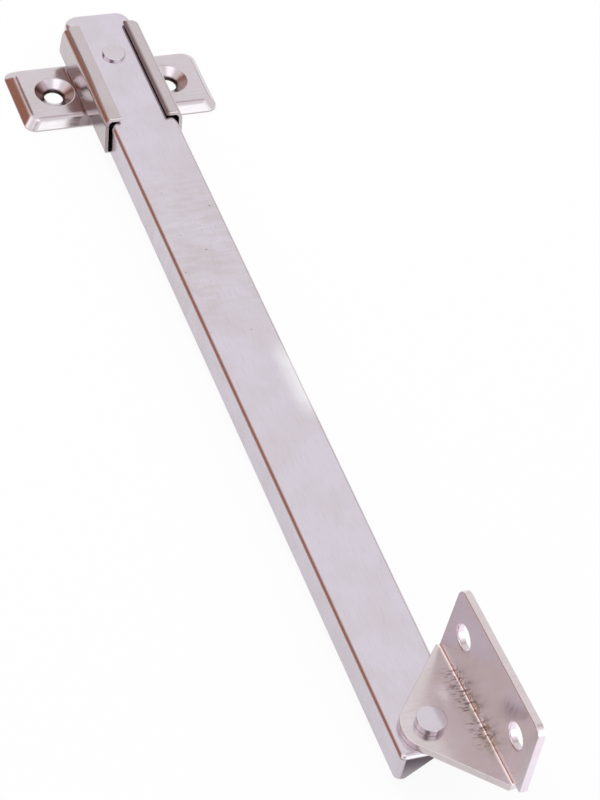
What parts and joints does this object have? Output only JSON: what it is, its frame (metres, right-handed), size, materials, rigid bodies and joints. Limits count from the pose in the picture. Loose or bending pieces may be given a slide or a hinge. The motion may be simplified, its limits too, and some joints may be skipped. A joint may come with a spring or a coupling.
{
  "type": "sliding lid stay",
  "caption": "Pressed-steel lid stay: channel rail sliding through a swivelling housing on a countersunk cross plate, with a swivelling angle bracket at the rail's end.",
  "frame": {"origin": "middle of the plate's two screw holes, under the housing's pivot, on the surface the plate is screwed to", "axes": "+X along the rail from the housing to the bracket, +Z out of the surface the plate is screwed to, +Y towards the bracket's upright leaf"},
  "size_m": [0.2081, 0.042, 0.0272],
  "materials": {
    "plated_sheet": "satin nickel plate on pressed sheet",
    "plated_bracket": "brushed nickel plate on thicker sheet",
    "plated_rivet": "nickel plate on turned steel",
    "spring_strip": "oiled spring steel",
    "brake_plastic": "natural nylon"
  },
  "bodies": {
    "plate": {"mounting_plate": "plated_sheet", "pivot_rivet": "plated_rivet", "pivot_washer": "spring_strip"},
    "housing": {"slider_housing": "plated_sheet", "brake_block": "brake_plastic", "brake_spring": "spring_strip"},
    "rail": {"rail": "plated_sheet", "stop_rivet": "plated_rivet", "stop_sleeve": "plated_rivet", "bracket_rivet": "plated_rivet", "bracket_washer": "plated_rivet"},
    "bracket": {"end_bracket": "plated_bracket"}
  },
  "joints": [
    {"name": "housing_swivel", "type": "hinge", "parent": "plate", "child": "housing", "pos_m": [0, 0, 0], "axis": [0, 0, 1], "continuous": true},
    {"name": "rail_slide", "type": "slide", "parent": "housing", "child": "rail", "axis": [1, 0, 0], "range_m": [-0.135, 0]},
    {"name": "bracket_swivel", "type": "hinge", "parent": "rail", "child": "bracket", "pos_m": [0.1753, 0, 0], "axis": [0, 0, 1], "continuous": true}
  ]
}
